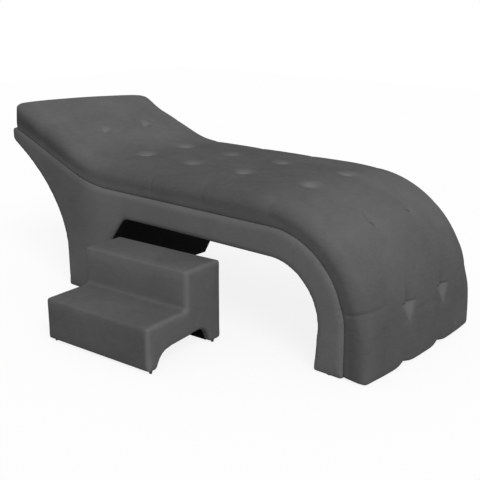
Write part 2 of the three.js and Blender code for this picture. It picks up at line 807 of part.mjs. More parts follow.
const stool_inside = stoolBlock(stool_skin);
const stool_span = [-cut_overrun, stool_width + cut_overrun];
const pad_depth = stool_skin + stool_pad_thickness;
const lower_pad_box = box(
  [-cut_overrun, stool_lower_depth + stool_skin - seat_gap],
  stool_span,
  [stool_lower_height - pad_depth, stool_lower_height],
);
const upper_pad_box = box(
  [stool_lower_depth, stool_depth + cut_overrun],
  stool_span,
  [stool_upper_height - pad_depth, stool_upper_height],
);
addPiece(stool, 'stool_pad_lower', common(stool_inside, lower_pad_box), foam);
addPiece(stool, 'stool_pad_upper', common(stool_inside, upper_pad_box), foam);

// Stool boards between the two sides
const stool_between = [board_inner + seat_gap, stool_width - board_inner - seat_gap];
const panel_front = stool_skin + stool_panel_thickness;
const riser_front = stool_lower_depth + stool_skin;
const riser_back = riser_front + stool_panel_thickness;
const back_front = stool_depth - stool_skin - stool_panel_thickness;
const lower_top = stool_lower_height - pad_layer;
const upper_top = stool_upper_height - pad_layer;
const lower_under = lower_top - stool_panel_thickness;
const upper_under = upper_top - stool_panel_thickness;
const stool_boards = [
  ['stool_riser_lower', [stool_skin, panel_front], [stool_glide_height, lower_under - seat_gap]],
  ['stool_tread_lower', [stool_skin, riser_front - seat_gap], [lower_under, lower_top]],
  ['stool_riser_upper', [riser_front, riser_back], [lower_under, upper_under - seat_gap]],
  ['stool_tread_upper', [riser_front, back_front - seat_gap], [upper_under, upper_top]],
  ['stool_back_board', [back_front, stool_depth - stool_skin], [stool_glide_height, upper_top]],
];
for (const [name, x, z] of stool_boards) {
  addPiece(stool, name, box(x, stool_between, z), plywood);
}

// Black cloth on the inside of the stool, from its back board to its front board
const lining_back = back_front - seat_gap;
const lining_front = panel_front + seat_gap;
const stool_lining_chain = edges('lining', [
  [lining_back, stool_glide_height],
  [lining_back, upper_under - seat_gap],
  [riser_back + seat_gap, upper_under - seat_gap],
  [riser_back + seat_gap, lower_under - seat_gap],
  [lining_front, lower_under - seat_gap],
  [lining_front, stool_glide_height],
]);
const stool_lining = slab(strip(stool_lining_chain, 0, lining_thickness), stool_between);
addPiece(stool, 'stool_lining', stool_lining, black_cloth);

// Glides under the four feet of the stool
const stool_glide_radii = [stool_glide_radius, stool_glide_foot_radius];
const side_middle = stool_skin + stool_board_thickness / 2;
const stool_feet = [
  ['front', stool_front_foot / 2],
  ['back', stool_depth - stool_back_foot / 2],
];
for (const [end, x] of stool_feet) {
  for (const [side, y] of [['right', side_middle], ['left', stool_width - side_middle]]) {
    glide(stool, `stool_glide_${end}_${side}`, [x, y], stool_glide_height - seat_gap, stool_glide_radii);
  }
}

// The stool's own frame has its depth along x; it is turned to face the bed, by its front left corner
stool.position.y = -stool_width;
stool_place.rotation.z = quarter_turn + THREE.MathUtils.degToRad(stool_turn);
stool_place.position.set(stool_along, near_face - stool_clearance, 0);

// The origin is on the floor, under the middle of the whole set
const middle = new THREE.Box3().setFromObject(set, true).getCenter(new THREE.Vector3());
set.position.set(-middle.x, -middle.y, 0);

export default set;
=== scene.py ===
import json
import math

import bmesh
import bpy
import numpy as np
from mathutils import Matrix, Vector


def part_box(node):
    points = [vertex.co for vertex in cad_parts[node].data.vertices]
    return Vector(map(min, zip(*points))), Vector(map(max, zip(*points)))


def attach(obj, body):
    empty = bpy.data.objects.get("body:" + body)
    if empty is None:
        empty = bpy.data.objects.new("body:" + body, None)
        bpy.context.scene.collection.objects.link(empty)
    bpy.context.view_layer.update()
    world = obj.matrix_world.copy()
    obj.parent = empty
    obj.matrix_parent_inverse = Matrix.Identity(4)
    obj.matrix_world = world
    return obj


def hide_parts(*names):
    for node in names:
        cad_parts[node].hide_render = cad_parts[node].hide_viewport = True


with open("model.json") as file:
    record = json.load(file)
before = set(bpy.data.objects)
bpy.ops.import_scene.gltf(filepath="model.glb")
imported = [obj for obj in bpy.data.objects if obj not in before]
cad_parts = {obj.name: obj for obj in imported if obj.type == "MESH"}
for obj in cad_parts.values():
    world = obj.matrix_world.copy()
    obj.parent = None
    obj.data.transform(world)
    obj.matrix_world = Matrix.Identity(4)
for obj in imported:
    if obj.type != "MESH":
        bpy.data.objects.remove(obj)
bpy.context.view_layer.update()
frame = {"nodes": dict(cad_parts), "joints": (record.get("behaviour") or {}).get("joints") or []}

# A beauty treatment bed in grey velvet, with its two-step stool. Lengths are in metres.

# Sizes that the cover makers work to, the same as in the frame
bed_width = 0.750
crease_height = 0.477
head_length = 0.427
head_slope = math.radians(20.85)
head_blend_radius = 0.625
flat_length = 0.847
foot_radius = 0.320
rail_depth = 0.107
head_lip = 0.007
head_face_height = 0.056
head_leg_setback = 0.340
head_leg_straight = 0.150
head_leg_foot = 0.128
knee_setback = 0.711
knee_fillet = 0.030
leg_bow = 0.020
foot_leg_flare = 0.011
head_curve_share = 0.55
bed_glide_height = 0.003
head_flap_length = 0.042
underside = crease_height - rail_depth

# Padded sides and cloth
side_depth = 0.0336
skin_thickness = 0.0045
pad_inset = 0.0053
pad_thickness = 0.010
cloth_thickness = 0.0012
cloth_lift = 0.0009
cloth_margin = 0.0095
seam_gap = 0.0003

# Cushion and its tufts
cushion_thickness = 0.104
cushion_crown = 0.006
cushion_side_radius = 0.050
cushion_head_radius = 0.022
cushion_hem_radius = 0.024
cushion_side_setback = 0.005
cushion_head_setback = 0.010
cushion_draw_in = 0.003
cushion_bulge = 0.003
hem_height = 0.006
tuft_column_offset = 0.120
tuft_depth = 0.018
tuft_row_shares = [0.146, 0.29, 0.42, 0.545, 0.692, 0.795, 0.903]
cushion_edge_sag = 0.008
round_sag = 0.014
head_end_skew = 0.08
head_corner_radius = 0.045
tuft_spreads = [
    (0.044, 0.036), (0.056, 0.056), (0.052, 0.052), (0.050, 0.050), (0.048, 0.050), (0.050, 0.034), (0.046, 0.032)
]
tuft_well_depth = 0.0185
tuft_row_depths = [0.85, 1.0, 1.0, 1.0, 1.0, 0.60, 0.75]
pleat_rows = {2: 1.0, 3: 0.6, 4: 0.4}
button_cover = 0.0050
fold_depth = 0.0040
# Painted light on the velvet: the scale of its colour ramp, and painted highlights on the walls of each row's tuft
# wells and on the wedge under the last row
tone_scale = 0.6
well_painted_highlights = [0.48, 0.66, 0.60, 0.64, 0.68, 0.06, 0.0]
wedge_painted_highlight = 0.36
wedge_half = 0.044
wedge_length = 0.060
cushion_swell = 0.0035
rim_overlap = 0.0020
side_rise = 0.0015
side_floor_gap = 0.0008
hem_pinch = 0.008
wedge_depth = 0.0065
row_crease = 0.0038
tuft_crowding = 2.0
tuft_crowd_width = 0.030
button_radius = 0.011

# Stool
stool_width = 0.500
stool_lower_depth = 0.204
stool_depth = 0.385
stool_lower_height = 0.169
stool_upper_height = 0.312
stool_front_foot = 0.040
stool_back_foot = 0.055
arch_front_height = 0.070
arch_back_height = 0.080
arch_front_reach = 0.070
arch_back_reach = 0.065
arch_pull_share = 0.25
stool_foot = 0.013
stool_swell = 0.0045
stool_filling = 0.0010

# Where the bed stands in the frame
near_low, near_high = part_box("side_cover_near")
far_low, far_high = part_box("side_cover_far")
head_end_x = near_low.x + head_lip
centre_y = (near_low.y + far_high.y) / 2
near_face = near_low.y
inner_half = bed_width / 2 - side_depth - seam_gap


# Camera and studio
def place_camera():
    data = bpy.data.cameras.new("studio_camera")
    data.sensor_width = 36.0
    data.lens = 62.38
    camera = bpy.data.objects.new("studio_camera", data)
    bpy.context.scene.collection.objects.link(camera)
    camera.location = (near_low.x + 3.197, near_low.y - 2.140, 1.259)
    camera.rotation_euler = (math.radians(90 - 16.80), 0, math.radians(40.85))
    bpy.context.scene.camera = camera


def soft_key(name, way, strength, spread):
    """Even light from one side, as wide and soft as from a large far panel."""
    data = bpy.data.lights.new(name, "SUN")
    data.energy = strength
    data.angle = spread
    lamp = bpy.data.objects.new(name, data)
    bpy.context.scene.collection.objects.link(lamp)
    lamp.rotation_euler = Vector(way).to_track_quat("Z", "Y").to_euler()


def white_to_the_eye(nodes, links, light_shader, white_shader, share):
    """Mixes in plain white for camera, mirror and glass rays only."""
    path = nodes.new("ShaderNodeLightPath")
    camera_or_gloss = nodes.new("ShaderNodeMath")
    camera_or_gloss.operation = "MAXIMUM"
    links.new(path.outputs["Is Camera Ray"], camera_or_gloss.inputs[0])
    links.new(path.outputs["Is Glossy Ray"], camera_or_gloss.inputs[1])
    seen = nodes.new("ShaderNodeMath")
    seen.operation = "MAXIMUM"
    links.new(camera_or_gloss.outputs[0], seen.inputs[0])
    links.new(path.outputs["Is Transmission Ray"], seen.inputs[1])
    amount = nodes.new("ShaderNodeMath")
    amount.operation = "MULTIPLY"
    amount.inputs[1].default_value = share
    links.new(seen.outputs[0], amount.inputs[0])
    mix = nodes.new("ShaderNodeMixShader")
    links.new(amount.outputs[0], mix.inputs[0])
    links.new(light_shader.outputs[0], mix.inputs[1])
    links.new(white_shader.outputs[0], mix.inputs[2])
    return mix


def light_studio():
    scene = bpy.context.scene
    scene.view_settings.view_transform = "Standard"
    world = bpy.data.worlds.new("studio_air")
    scene.world = world
    world.use_nodes = True
    nodes, links = world.node_tree.nodes, world.node_tree.links
    light = nodes["Background"]
    light.inputs["Color"].default_value = (1, 1, 1, 1)
    light.inputs["Strength"].default_value = 0.56
    white = nodes.new("ShaderNodeBackground")
    white.inputs["Color"].default_value = (1, 1, 1, 1)
    white.inputs["Strength"].default_value = 1.0
    mix = white_to_the_eye(nodes, links, light, white, 1.0)
    links.new(mix.outputs[0], nodes["World Output"].inputs["Surface"])
    soft_key("studio_key", (1.0, -0.62, 1.0), 2.0, 0.5)


def lay_floor():
    bpy.ops.object.select_all(action="DESELECT")
    bpy.ops.mesh.primitive_plane_add(size=16, location=(0, 0, 0))
    floor = bpy.context.object
    floor.name = "studio_floor"
    material = bpy.data.materials.new("studio_floor")
    material.use_nodes = True
    nodes, links = material.node_tree.nodes, material.node_tree.links
    shader = nodes["Principled BSDF"]
    path = nodes.new("ShaderNodeLightPath")
    paint = nodes.new("ShaderNodeMix")
    paint.data_type = "RGBA"
    paint.inputs["A"].default_value = (0.45, 0.45, 0.45, 1)
    paint.inputs["B"].default_value = (0.95, 0.95, 0.95, 1)
    links.new(path.outputs["Is Camera Ray"], paint.inputs["Factor"])
    links.new(paint.outputs["Result"], shader.inputs["Base Color"])
    shader.inputs["Roughness"].default_value = 0.9
    shader.inputs["Specular IOR Level"].default_value = 0.1
    white = nodes.new("ShaderNodeEmission")
    white.inputs["Color"].default_value = (1, 1, 1, 1)
    white.inputs["Strength"].default_value = 1.0
    mix = white_to_the_eye(nodes, links, shader, white, 0.86)
    links.new(mix.outputs[0], nodes["Material Output"].inputs["Surface"])
    floor.data.materials.append(material)


place_camera()
light_studio()
lay_floor()


# Shared effects, built once as node groups
def effect_group(name, numbers, outputs):
    group = bpy.data.node_groups.new(name, "ShaderNodeTree")
    for label, value in numbers:
        socket = group.interface.new_socket(label, in_out="INPUT", socket_type="NodeSocketFloat")
        socket.default_value = value
    for label in outputs:
        group.interface.new_socket(label, in_out="OUTPUT", socket_type="NodeSocketFloat")
    source = group.nodes.new("NodeGroupInput")
    result = group.nodes.new("NodeGroupOutput")
    return group, source, result


def noise(tree, vector, scale, detail=3.0, rough=0.55, distortion=0.0):
    node = tree.nodes.new("ShaderNodeTexNoise")
    node.inputs["Scale"].default_value = scale
    node.inputs["Detail"].default_value = detail
    node.inputs["Roughness"].default_value = rough
    node.inputs["Distortion"].default_value = distortion
    tree.links.new(vector, node.inputs["Vector"])
    return node.outputs["Fac"]


def maths(tree, operation, first, second=0.0):
    node = tree.nodes.new("ShaderNodeMath")
    node.operation = operation
    for slot, value in enumerate((first, second)):
        if isinstance(value, (int, float)):
            node.inputs[slot].default_value = value
        else:
            tree.links.new(value, node.inputs[slot])
    return node.outputs[0]


def stretched(tree, vector, stretch, turn=(0, 0, 0)):
    node = tree.nodes.new("ShaderNodeMapping")
    node.inputs["Scale"].default_value = stretch
    node.inputs["Rotation"].default_value = turn
    tree.links.new(vector, node.inputs["Vector"])
    return node.outputs["Vector"]


def pile_group():
    """Velvet pile: broad brushed patches, streaks and single tufts of fibre."""
    numbers = [("Patches", 0.5), ("Streaks", 0.3), ("Fibres", 0.2)]
    group, source, result = effect_group("velvet_pile", numbers, ["Shade", "Height"])
    place = group.nodes.new("ShaderNodeTexCoord").outputs["Object"]
    patch = noise(group, place, 5.5, 4.0, 0.6, 0.4)
    streak = noise(group, stretched(group, place, (1.0, 1.0, 3.0)), 38.0, 3.0, 0.6, 0.6)
    fibre = noise(group, place, 900.0, 2.0, 0.7)
    shade = maths(group, "MULTIPLY", maths(group, "SUBTRACT", patch, 0.5), source.outputs["Patches"])
    more = maths(group, "MULTIPLY", maths(group, "SUBTRACT", streak, 0.5), source.outputs["Streaks"])
    fine = maths(group, "MULTIPLY", maths(group, "SUBTRACT", fibre, 0.5), source.outputs["Fibres"])
    total = maths(group, "ADD", maths(group, "ADD", shade, more), fine)
    group.links.new(maths(group, "ADD", total, 0.5), result.inputs["Shade"])
    group.links.new(maths(group, "ADD", fibre, maths(group, "MULTIPLY", streak, 0.6)), result.inputs["Height"])
    return group


def grain_group():
    """Wood grain: long streaks along x with slow rings and fine pores."""
    group, source, result = effect_group("wood_grain", [("Rings", 0.6), ("Pores", 0.4)], ["Shade", "Height"])
    place = group.nodes.new("ShaderNodeTexCoord").outputs["Object"]
    rings = noise(group, stretched(group, place, (1.6, 16.0, 16.0)), 3.0, 3.0, 0.5, 1.4)
    pores = noise(group, stretched(group, place, (12.0, 260.0, 260.0)), 3.0, 2.0, 0.6)
    wide = maths(group, "MULTIPLY", maths(group, "SUBTRACT", rings, 0.5), source.outputs["Rings"])
    fine = maths(group, "MULTIPLY", maths(group, "SUBTRACT", pores, 0.5), source.outputs["Pores"])
    group.links.new(maths(group, "ADD", maths(group, "ADD", wide, fine), 0.5), result.inputs["Shade"])
    group.links.new(pores, result.inputs["Height"])
    return group


def weave_group():
    """Plain weave: two crossing sets of threads, a little uneven."""
    group, source, result = effect_group("plain_weave", [("Thread", 1400.0)], ["Shade", "Height"])
    place = group.nodes.new("ShaderNodeTexCoord").outputs["Object"]
    split = group.nodes.new("ShaderNodeSeparateXYZ")
    group.links.new(place, split.inputs[0])
    along = maths(group, "ADD", split.outputs["X"], split.outputs["Z"])
    warp = maths(group, "SINE", maths(group, "MULTIPLY", along, source.outputs["Thread"]))
    weft = maths(group, "SINE", maths(group, "MULTIPLY", split.outputs["Y"], source.outputs["Thread"]))
    crossing = maths(group, "MULTIPLY", warp, weft)
    uneven = noise(group, place, 60.0, 3.0, 0.6)
    group.links.new(maths(group, "ADD", maths(group, "MULTIPLY", crossing, 0.15), uneven), result.inputs["Shade"])
    group.links.new(crossing, result.inputs["Height"])
    return group


velvet_pile = pile_group()
wood_grain = grain_group()
plain_weave = weave_group()


# Materials
def finish_of(name, group, values, dark, light, roughness, bump_distance, bump_strength=0.5, with_painted_shading=False):
    material = bpy.data.materials.new(name)
    material.use_nodes = True
    tree = material.node_tree
    shader = tree.nodes["Principled BSDF"]
    effect = tree.nodes.new("ShaderNodeGroup")
    effect.node_tree = group
    for label, value in values.items():
        effect.inputs[label].default_value = value
    ramp = tree.nodes.new("ShaderNodeValToRGB")
    ramp.color_ramp.elements[0].position = 0.25
    ramp.color_ramp.elements[1].position = 0.75
    ramp.color_ramp.elements[0].color = (*dark, 1)
    ramp.color_ramp.elements[1].color = (*light, 1)
    shade = effect.outputs["Shade"]
    # Painted light and shade, kept per vertex, is added to the pile pattern and lightens or darkens the velvet
    if with_painted_shading:
        painted_shading = tree.nodes.new("ShaderNodeAttribute")
        painted_shading.attribute_name = "painted_shading"
        shade = maths(tree, "MULTIPLY", maths(tree, "ADD", shade, painted_shading.outputs["Fac"]), tone_scale)
        ramp.color_ramp.elements[0].position = 0.0
        ramp.color_ramp.elements[1].position = 1.0
    tree.links.new(shade, ramp.inputs["Fac"])
    tree.links.new(ramp.outputs["Color"], shader.inputs["Base Color"])
    bump = tree.nodes.new("ShaderNodeBump")
    bump.inputs["Distance"].default_value = bump_distance
    bump.inputs["Strength"].default_value = bump_strength
    tree.links.new(effect.outputs["Height"], bump.inputs["Height"])
    tree.links.new(bump.outputs["Normal"], shader.inputs["Normal"])
    shader.inputs["Roughness"].default_value = roughness
    return material, shader


def velvet_finish(name, dark, light, sheen):
    values = {"Patches": 0.55, "Streaks": 0.30, "Fibres": 0.35}
    material, shader = finish_of(name, velvet_pile, values, dark, light, 0.95, 0.0006, with_painted_shading=True)
    shader.inputs["Specular IOR Level"].default_value = 0.02
    shader.inputs["Sheen Weight"].default_value = sheen
    shader.inputs["Sheen Roughness"].default_value = 0.45
    shader.inputs["Sheen Tint"].default_value = (0.55, 0.55, 0.56, 1)
    return material


velvet = velvet_finish("charcoal_velvet", (0.052, 0.052, 0.053), (0.185, 0.185, 0.186), 0.03)
button_velvet = velvet_finish("button_velvet", (0.048, 0.048, 0.049), (0.175, 0.175, 0.176), 0.03)
plywood, plywood_shader = finish_of(
    "birch_plywood", wood_grain, {"Rings": 0.7, "Pores": 0.5}, (0.44, 0.29, 0.14), (0.66, 0.48, 0.27), 0.62, 0.0003
)
pine, pine_shader = finish_of(
    "planed_pine", wood_grain, {"Rings": 1.0, "Pores": 0.35}, (0.52, 0.33, 0.15), (0.76, 0.56, 0.31), 0.58, 0.0003
)
# Black lining cloth; its near-black colour also stands in for the deep shade under the bed and inside the stool
black_lining_and_shade, lining_and_shade_shader = finish_of(
    "black_lining_and_painted_shade", plain_weave, {"Thread": 1600.0}, (0.0022, 0.0022, 0.0024), (0.0065, 0.0065, 0.0068), 0.96, 0.0003
)
foam, foam_shader = finish_of(
    "cushion_foam", velvet_pile, {"Patches": 0.3, "Streaks": 0.3, "Fibres": 0.8},
    (0.62, 0.55, 0.30), (0.78, 0.71, 0.44), 0.97, 0.0010,
)
glide_plastic, glide_shader = finish_of(
    "black_glide_plastic", velvet_pile, {"Patches": 0.3, "Streaks": 0.4, "Fibres": 0.3},
    (0.006, 0.006, 0.006), (0.014, 0.014, 0.014), 0.42, 0.0001,
)
lining_and_shade_shader.inputs["Specular IOR Level"].default_value = 0.05


# Modelling by hand: selection, outlines and clean-up
def start_object(adder, name, **settings):
    bpy.ops.object.select_all(action="DESELECT")
    adder(**settings)
    piece = bpy.context.object
    piece.name = name
    piece.data.name = name
    return piece


def select_only(piece):
    bpy.ops.object.select_all(action="DESELECT")
    piece.select_set(True)
    bpy.context.view_layer.objects.active = piece


def pick(piece, kind, wanted):
    """In edit mode, selects the vertices, edges or faces that a test asks for, and nothing else."""
    bpy.ops.mesh.select_mode(type=kind)
    mesh = bmesh.from_edit_mesh(piece.data)
    for part in (mesh.verts, mesh.edges, mesh.faces):
        for item in part:
            item.select_set(False)
    chosen = {"VERT": mesh.verts, "EDGE": mesh.edges, "FACE": mesh.faces}[kind]
    count = 0
    for item in chosen:
        if wanted(item):
            item.select_set(True)
            count += 1
    mesh.select_flush_mode()
    bmesh.update_edit_mesh(piece.data)
    return count


def apply_modifier(piece, kind, **settings):
    select_only(piece)
    modifier = piece.modifiers.new(kind.lower(), kind)
    for label, value in settings.items():
        setattr(modifier, label, value)
    bpy.ops.object.modifier_apply(modifier=modifier.name)


def drop_place(piece):
    select_only(piece)
    bpy.ops.object.transform_apply(location=True, rotation=True, scale=True)


def read_points(piece):
    points = np.empty(len(piece.data.vertices) * 3)
    piece.data.vertices.foreach_get("co", points)
    return points.reshape(-1, 3)


def write_points(piece, points):
    piece.data.vertices.foreach_set("co", np.ascontiguousarray(points, float).ravel())
    piece.data.update()


def smooth_step(values, low, high):
    share = np.clip((values - low) / (high - low), 0, 1)
    return share * share * (3 - 2 * share)


def dress(piece, material, body, slot, *replaced):
    piece.data.materials.clear()
    piece.data.materials.append(material)
    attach(piece, body)
    if replaced:
        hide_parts(*replaced)


def paint_shading(piece, lift):
    """Stores painted light and shade at each vertex, as a lift that makes the velvet lighter or a drop that makes it
    darker.
    """
    painted_shading = piece.data.attributes.new("painted_shading", "FLOAT", "POINT")
    painted_shading.data.foreach_set("value", np.ascontiguousarray(lift, np.float32))


def trace_outline(name, points, closed):
    """Draws a line as by hand: one vertex, pulled from point to point, and filled if it is closed."""
    start = Vector(points[0])
    piece = start_object(bpy.ops.mesh.primitive_plane_add, name, size=0.001, location=start)
    drop_place(piece)
    bpy.ops.object.mode_set(mode="EDIT")
    bpy.ops.mesh.select_mode(type="VERT")
    bpy.ops.mesh.select_all(action="SELECT")
    bpy.ops.mesh.merge(type="CENTER")
    for before, after in zip(points, points[1:]):
        step = Vector(after) - Vector(before)
        bpy.ops.mesh.extrude_region_move(TRANSFORM_OT_translate={"value": step})
    if closed:
        step = start - Vector(points[-1])
        bpy.ops.mesh.extrude_region_move(TRANSFORM_OT_translate={"value": step})
        bpy.ops.mesh.select_all(action="SELECT")
        bpy.ops.mesh.remove_doubles(threshold=0.00001)
        bpy.ops.mesh.edge_face_add()
    bpy.ops.object.mode_set(mode="OBJECT")
    return piece


def pull(piece, step):
    """Extrudes the whole open outline or face, and leaves edit mode."""
    select_only(piece)
    bpy.ops.object.mode_set(mode="EDIT")
    bpy.ops.mesh.select_mode(type="VERT")
    bpy.ops.mesh.select_all(action="SELECT")
    bpy.ops.mesh.extrude_region_move(TRANSFORM_OT_translate={"value": step})
    bpy.ops.mesh.select_all(action="SELECT")
    bpy.ops.mesh.normals_make_consistent(inside=False)
    bpy.ops.object.mode_set(mode="OBJECT")


def smooth_faces(piece, degrees=40):
    select_only(piece)
    bpy.ops.object.shade_smooth_by_angle(angle=math.radians(degrees), keep_sharp_edges=False)


# Soft goods: a blocked-out cover is remeshed, relaxed and filled under pressure
def inflate(piece, held, cap, pressure, stiffness=1.5):
    """Cloth simulation with the filling pressing outwards. No point may move further than the cap."""
    before = read_points(piece)
    select_only(piece)
    group = piece.vertex_groups.new(name="held")
    for level in range(1, 5):
        share = level / 4
        chosen = np.nonzero(np.abs(held - share) <= 0.125)[0]
        group.add(chosen.tolist(), share, "REPLACE")
    cloth = piece.modifiers.new("filling", "CLOTH")
    cloth.settings.quality = 4
    cloth.settings.mass = 0.25
    cloth.settings.tension_stiffness = 12
    cloth.settings.compression_stiffness = 12
    cloth.settings.shear_stiffness = 6
    cloth.settings.bending_stiffness = stiffness
    cloth.settings.use_pressure = True
    cloth.settings.uniform_pressure_force = pressure
    cloth.settings.effector_weights.gravity = 0
    cloth.settings.vertex_group_mass = "held"
    cloth.point_cache.frame_start = 1
    cloth.point_cache.frame_end = 20
    for number in range(1, 21):
        bpy.context.scene.frame_set(number)
    bpy.ops.object.modifier_apply(modifier=cloth.name)
    bpy.context.scene.frame_set(1)
    move = read_points(piece) - before
    length = np.linalg.norm(move, axis=1)[:, None]
    limited = cap * np.tanh(length / cap)
    write_points(piece, before + move * limited / np.maximum(length, 1e-9))
    piece.vertex_groups.clear()


def soften(piece, voxel, rounds):
    apply_modifier(piece, "REMESH", mode="VOXEL", voxel_size=voxel)
    apply_modifier(piece, "SMOOTH", factor=0.5, iterations=rounds)


def cut_away(piece, point, normal):
    """Bisects a piece and clears what lies on the side that the normal points to."""
    select_only(piece)
    bpy.ops.object.mode_set(mode="EDIT")
    bpy.ops.mesh.select_all(action="SELECT")
    bpy.ops.mesh.bisect(plane_co=point, plane_no=normal, clear_outer=True)
    bpy.ops.object.mode_set(mode="OBJECT")


# Lines of the bed, seen from the side
stretches = [
    (head_length, 0.0),
    (head_blend_radius * head_slope, head_slope),
    (flat_length, 0.0),
    (foot_radius * math.pi / 2, -math.pi / 2),
    (crease_height - foot_radius - bed_glide_height, 0.0),
]
crease_length = sum(length for length, turn in stretches)
round_start = sum(length for length, turn in stretches[:3])
head_rise = head_length * math.sin(head_slope) + head_blend_radius * (1 - math.cos(head_slope))
head_top = crease_height + head_rise
tuft_rows = [share * crease_length for share in tuft_row_shares]
cushion_end = crease_length + bed_glide_height - hem_height


def crease_at(place):
    """Where the crease line runs and how it is heading, at places measured from the head end."""
    place = np.asarray(place, float)
    x = np.full(place.shape, head_end_x)
    z = np.full(place.shape, head_top)
    heading = np.full(place.shape, -head_slope)
    left = place.copy()
    for length, turn in stretches:
        part = np.clip(left / length, None if length == stretches[0][0] else 0, 1)
        if turn == 0:
            x += np.cos(heading) * length * part
            z += np.sin(heading) * length * part
        else:
            radius = length / turn
            swing = turn * part
            x += radius * (np.sin(heading + swing) - np.sin(heading))
            z -= radius * (np.cos(heading + swing) - np.cos(heading))
            heading = heading + swing
        left = np.maximum(left - length, 0)
    return x, z, heading


def off_crease(place, height):
    x, z, heading = crease_at(place)
    return x - height * np.sin(heading), z + height * np.cos(heading)


def bend(start, via, end, steps):
    shares = np.linspace(0, 1, steps + 1)[:, None]
    start, via, end = (np.array(point, float) for point in (start, via, end))
    return (1 - shares) ** 2 * start + 2 * shares * (1 - shares) * via + shares ** 2 * end


def eased(corner, before, after, reach, steps=5):
    """A sharp corner of an outline, eased over a short reach on both sides."""
    corner, before, after = (np.array(point, float) for point in (corner, before, after))
    start = corner + (before - corner) * (reach / np.linalg.norm(before - corner))
    end = corner + (after - corner) * (reach / np.linalg.norm(after - corner))
    return bend(start, corner, end, steps)


def bed_lines():
    """Under line from toe to toe, top line from the head tip to the floor, and head line down the leg."""
    left = head_end_x
    toe = np.array([left + head_leg_setback + head_leg_foot, bed_glide_height])
    knee = np.array([left + knee_setback, underside])
    slant = (knee - toe) / np.linalg.norm(knee - toe)
    knee_low = knee - slant * knee_fillet
    middle = (toe + knee) / 2 + leg_bow * np.array([-slant[1], slant[0]])
    leg = bend(toe, middle, knee_low, 22)
    fillet = bend(knee_low, knee, (knee[0] + knee_fillet, knee[1]), 7)[1:]
    turns = np.linspace(round_start, round_start + foot_radius * math.pi / 2, 25)
    round_line = np.column_stack(off_crease(turns, -rail_depth))
    foot_x = off_crease(crease_length, -rail_depth)[0] - foot_leg_flare
    under = np.vstack([leg, fillet, round_line, [[foot_x, bed_glide_height]]])
    places = np.concatenate([
        np.linspace(0.05, head_length, 4),
        np.linspace(head_length, head_length + head_blend_radius * head_slope, 16)[1:],
        np.linspace(head_length + head_blend_radius * head_slope, round_start, 6)[1:],
        np.linspace(round_start, round_start + foot_radius * math.pi / 2, 37)[1:],
        [crease_length],
    ])
    top = np.column_stack(crease_at(places)[:2])
    tip = np.array([left - head_lip, head_top + head_lip * math.tan(head_slope)])
    head_under = np.array([left - head_lip, head_top - head_face_height])
    curve_height = head_leg_straight + (head_under[1] - head_leg_straight) * head_curve_share
    leg_top = np.array([left + head_leg_setback, head_leg_straight])
    curve = bend(head_under, (left + head_leg_setback, curve_height), leg_top, 30)
    head = np.vstack([
        eased(tip, top[0], head_under, 0.024, 6),
        eased(head_under, tip, curve[3], 0.018),
        curve[4:],
        [[left + head_leg_setback, bed_glide_height]],
    ])
    return under, top, head


under_line, top_line, head_line = bed_lines()


def at_y(line, y):
    return [(x, y, z) for x, z in line]


side_outline = np.vstack([under_line, top_line[::-1], head_line])
top_slope = np.gradient(top_line, axis=0)
top_way = np.column_stack([-top_slope[:, 1], top_slope[:, 0]]) / np.linalg.norm(top_slope, axis=1)[:, None]


# Side upholstery: a shallow velvet tray round the pad and its board
def make_side_upholstery():
    """The near side is modelled, and the far one is its mirror image."""
    outline = side_outline.copy()
    outline[outline[:, 1] < bed_glide_height + 0.0005, 1] = side_floor_gap
    first = len(under_line)
    outline[first:first + len(top_line)] += side_rise * top_way[::-1]
    piece = trace_outline("side_upholstery_near", at_y(outline, near_face), True)
    pull(piece, (0, side_depth + 0.020, 0))
    soften(piece, 0.0065, 4)
    inward = read_points(piece)[:, 1] - near_face
    inflate(piece, smooth_step(inward, 0.004, 0.012), 0.0035, 4.0)
    cut_away(piece, (0, near_face + side_depth, 0), (0, 1, 0))
    apply_modifier(piece, "SUBSURF", levels=1, render_levels=1)
    apply_modifier(piece, "SOLIDIFY", thickness=skin_thickness, offset=-1)
    smooth_faces(piece, 60)
    far = piece.copy()
    far.data = piece.data.copy()
    far.name = "side_upholstery_far"
    bpy.context.scene.collection.objects.link(far)
    far.matrix_world = Matrix.Translation((0, 2 * centre_y, 0)) @ Matrix.Diagonal((1, -1, 1, 1))
    drop_place(far)
    bpy.ops.object.mode_set(mode="EDIT")
    bpy.ops.mesh.select_all(action="SELECT")
    bpy.ops.mesh.flip_normals()
    bpy.ops.object.mode_set(mode="OBJECT")
    for side, cover in (("near", piece), ("far", far)):
        points = read_points(cover)
        # Painted light: each side cover is made lighter on the rail past the head leg, and on the low part of the leg
        past_leg = smooth_step(points[:, 0] - head_end_x, 0.36, 0.62)
        low_leg = (1 - smooth_step(points[:, 2], 0.10, 0.32)) * (1 - past_leg)
        paint_shading(cover, 0.40 * past_leg + 0.22 * low_leg)
        dress(cover, velvet, "bed", "velvet", f"side_cover_{side}")


